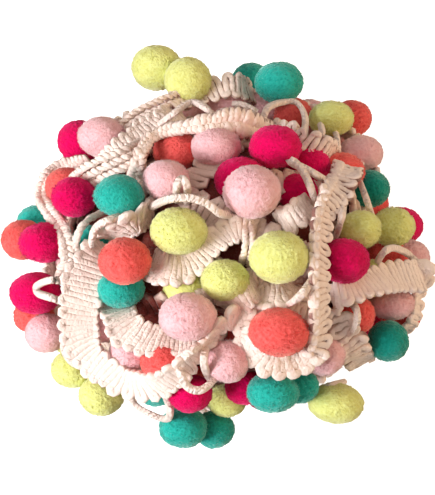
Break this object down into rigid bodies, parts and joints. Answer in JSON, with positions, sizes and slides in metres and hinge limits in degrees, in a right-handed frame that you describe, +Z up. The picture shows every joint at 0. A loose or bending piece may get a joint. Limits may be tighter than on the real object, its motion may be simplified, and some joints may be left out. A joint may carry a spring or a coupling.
{
  "type": "ball of pompom trim",
  "caption": "Loose hand-wound ball of off-white cord braid with soft round pompoms on short cord loops, resting on a small flat spot.",
  "frame": {"origin": "middle of the small flat spot that the ball rests on", "axes": "+Z up, -Y towards the front of the ball, +X to the right of it"},
  "size_m": [0.1802, 0.1723, 0.1216],
  "materials": {
    "braid": "matt off-white cord braid, faintly pink",
    "yellow": "matt yellow pile, dense and velvety",
    "teal": "matt teal pile, dense and velvety",
    "pink": "matt pink pile, dense and velvety",
    "magenta": "matt magenta pile, dense and velvety",
    "coral": "matt coral pile, dense and velvety"
  },
  "bodies": {
    "root": {"braid": "braid", "coral_1": "coral", "coral_10": "coral", "coral_2": "coral", "coral_3": "coral", "coral_4": "coral", "coral_5": "coral", "coral_6": "coral", "coral_7": "coral", "coral_8": "coral", "coral_9": "coral", "magenta_1": "magenta", "magenta_10": "magenta", "magenta_2": "magenta", "magenta_3": "magenta", "magenta_4": "magenta", "magenta_5": "magenta", "magenta_6": "magenta", "magenta_7": "magenta", "magenta_8": "magenta", "magenta_9": "magenta", "pink_1": "pink", "pink_10": "pink", "pink_11": "pink", "pink_12": "pink", "pink_13": "pink", "pink_2": "pink", "pink_3": "pink", "pink_4": "pink", "pink_5": "pink", "pink_6": "pink", "pink_7": "pink", "pink_8": "pink", "pink_9": "pink", "teal_1": "teal", "teal_10": "teal", "teal_2": "teal", "teal_3": "teal", "teal_4": "teal", "teal_5": "teal", "teal_6": "teal", "teal_7": "teal", "teal_8": "teal", "teal_9": "teal", "yellow_1": "yellow", "yellow_10": "yellow", "yellow_11": "yellow", "yellow_12": "yellow", "yellow_13": "yellow", "yellow_2": "yellow", "yellow_3": "yellow", "yellow_4": "yellow", "yellow_5": "yellow", "yellow_6": "yellow", "yellow_7": "yellow", "yellow_8": "yellow", "yellow_9": "yellow"}
  },
  "joints": []
}
